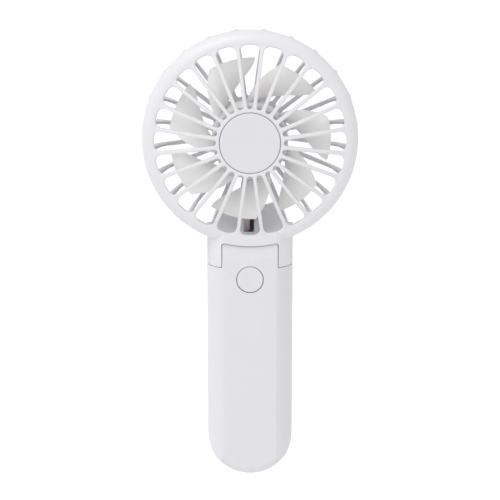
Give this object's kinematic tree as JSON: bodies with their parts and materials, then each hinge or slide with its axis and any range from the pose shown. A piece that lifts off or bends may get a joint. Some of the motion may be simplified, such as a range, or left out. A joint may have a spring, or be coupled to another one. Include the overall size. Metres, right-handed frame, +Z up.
{
  "type": "handheld electric fan",
  "caption": "Rechargeable hand fan: round caged head with a swept impeller on a neck that folds back, flat-sided handle with one push button.",
  "frame": {"origin": "bottom centre of the whole fan's box, at the height of the handle's rounded tip", "axes": "+Z up the handle to the head, -Y the way the air is blown, +X to the fan's right seen from the front"},
  "size_m": [0.1004, 0.03, 0.2132],
  "materials": {
    "grille_white": "satin moulded",
    "shell_white": "satin moulded",
    "disc_white": "satin moulded",
    "blade_white": "matt moulded",
    "button_white": "satin moulded",
    "steel": "plain",
    "dark_steel": "dark",
    "bronze": "sintered",
    "nickel": "nickel plated",
    "board_green": "lacquered board",
    "black_plastic": "plain",
    "ivory_plastic": "plain",
    "cell_wrap": "shrink wrap",
    "foam": "foam",
    "rubber": "plain",
    "red_sleeve": "cable sleeve",
    "black_sleeve": "cable sleeve"
  },
  "bodies": {
    "handle": {"front_shell": "shell_white", "rear_shell": "shell_white", "switch_body": "black_plastic", "circuit_board": "board_green", "board_chip_left": "black_plastic", "board_chip_right": "black_plastic", "battery_cell": "cell_wrap", "battery_tab_top": "nickel", "battery_tab_bottom": "nickel", "battery_pad": "foam", "charge_board": "board_green", "usb_shell": "nickel", "usb_tongue": "black_plastic", "handle_screw_lower_left": "steel", "handle_screw_lower_right": "steel", "handle_screw_upper_left": "steel", "handle_screw_upper_right": "steel", "friction_washer_left": "ivory_plastic", "friction_washer_right": "ivory_plastic", "red_board_lead": "red_sleeve", "black_board_lead": "black_sleeve"},
    "head": {"front_grille": "grille_white", "rear_grille": "shell_white", "centre_disc": "disc_white", "wire_cover": "shell_white", "motor_can": "nickel", "motor_cap": "black_plastic", "motor_sleeve": "rubber", "motor_magnet": "dark_steel", "front_bush": "bronze", "rear_bush": "bronze", "head_screw_left": "steel", "head_screw_right": "steel", "hinge_pin_left": "steel", "hinge_pin_right": "steel", "red_motor_lead": "red_sleeve", "black_motor_lead": "black_sleeve"},
    "rotor": {"impeller": "blade_white", "motor_shaft": "steel", "motor_rotor": "dark_steel"},
    "button": {"power_button": "button_white", "switch_plunger": "black_plastic"}
  },
  "joints": [
    {"name": "head_fold", "type": "hinge", "parent": "handle", "child": "head", "pos_m": [0, 0.007, 0.1065], "axis": [-1, 0, 0], "range_deg": [0, 90]},
    {"name": "impeller_spin", "type": "hinge", "parent": "head", "child": "rotor", "pos_m": [0, 0, 0.163], "axis": [0, 1, 0], "continuous": true},
    {"name": "button_press", "type": "slide", "parent": "handle", "child": "button", "axis": [0, 1, 0], "range_m": [0, 0.0006], "stiffness_N_per_m": 1500}
  ]
}
